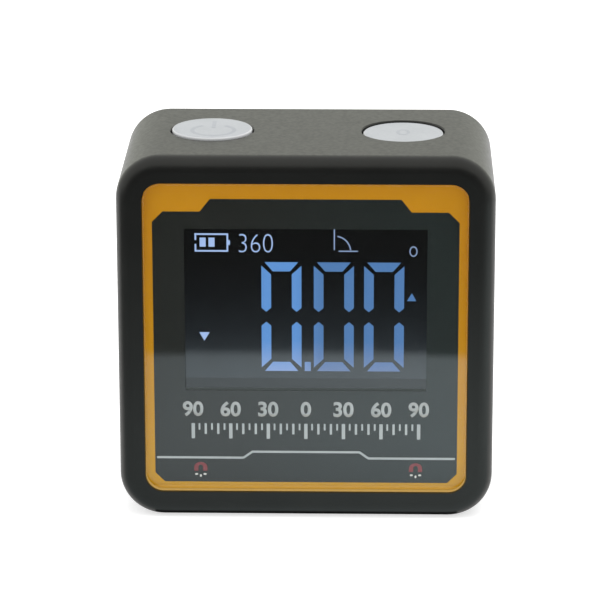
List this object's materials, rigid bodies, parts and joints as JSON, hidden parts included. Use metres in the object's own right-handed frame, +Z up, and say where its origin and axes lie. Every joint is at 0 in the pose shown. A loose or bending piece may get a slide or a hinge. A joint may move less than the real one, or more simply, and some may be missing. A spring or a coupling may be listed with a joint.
{
  "type": "digital inclinometer",
  "caption": "Square pocket inclinometer with a lit angle display in a coloured border, two round top buttons, a rear battery door and a magnetic base.",
  "frame": {"origin": "middle of the base, on the face that the part stands on", "axes": "+X to the viewer's right, +Y from the display to the battery door, +Z up to the buttons"},
  "size_m": [0.055, 0.03, 0.0553],
  "materials": {
    "case_black": "fine satin moulded plastic",
    "button_grey": "satin moulded plastic",
    "lens_clear": "clear polished acrylic",
    "border_orange": "ink printed on film",
    "mask_dark": "ink printed on film",
    "tape_black": "black adhesive tape",
    "polariser": "polarising sheet",
    "display_glass": "polished glass",
    "guide_clear": "clear acrylic",
    "sheet_white": "white sheet",
    "frame_white": "moulded plastic",
    "strip_rubber": "layered rubber",
    "lamp_white": "lamp with a yellow lens",
    "board_green": "solder mask",
    "chip_black": "moulded epoxy",
    "pin_gold": "gold plated",
    "screw_steel": "zinc plated",
    "contact_nickel": "nickel plated",
    "magnet_nickel": "nickel plated",
    "cell_jacket": "printed sleeve",
    "can_metal": "drawn can",
    "foam_grey": "soft foam",
    "wire_red": "insulation",
    "wire_black": "insulation"
  },
  "bodies": {
    "body": {"front_housing": "case_black", "rear_cover": "case_black", "front_lens": "lens_clear", "border_film": "border_orange", "mask_film": "mask_dark", "lens_tape": "tape_black", "lcd_front_polariser": "polariser", "lcd_front_glass": "display_glass", "lcd_rear_glass": "display_glass", "lcd_rear_polariser": "polariser", "light_guide": "guide_clear", "backlight_reflector": "sheet_white", "lcd_contact_strip": "strip_rubber", "backlight_leds": "lamp_white", "lcd_frame": "frame_white", "main_board": "board_green", "button_board": "board_green", "header_block": "chip_black", "header_pins": "pin_gold", "rear_cover_screws": "screw_steel", "main_board_screws": "screw_steel", "button_board_screws": "screw_steel", "power_switch_body": "contact_nickel", "zero_switch_body": "contact_nickel", "base_magnets": "magnet_nickel", "lower_cell": "cell_jacket", "upper_cell": "cell_jacket", "link_contact": "contact_nickel", "negative_contact": "contact_nickel", "positive_contact": "contact_nickel", "link_spring": "contact_nickel", "negative_spring": "contact_nickel", "microcontroller": "chip_black", "tilt_sensor": "chip_black", "timing_crystal": "can_metal", "supply_capacitor": "can_metal", "small_chip_parts": "chip_black", "red_lead": "wire_red", "black_lead": "wire_black"},
    "power_button": {"power_button": "button_grey", "power_switch_plunger": "chip_black"},
    "zero_button": {"zero_button": "button_grey", "zero_switch_plunger": "chip_black"},
    "battery_door": {"battery_door": "case_black", "door_foam_pad": "foam_grey"}
  },
  "joints": [
    {"name": "power_press", "type": "slide", "parent": "body", "child": "power_button", "axis": [0, 0, -1], "range_m": [0, 0.0004], "stiffness_N_per_m": 1500},
    {"name": "zero_press", "type": "slide", "parent": "body", "child": "zero_button", "axis": [0, 0, -1], "range_m": [0, 0.0004], "stiffness_N_per_m": 1500},
    {"name": "door_swing", "type": "hinge", "parent": "body", "child": "battery_door", "pos_m": [0, 0.0148, 0.009], "axis": [-1, 0, 0], "range_deg": [0, 60]}
  ]
}
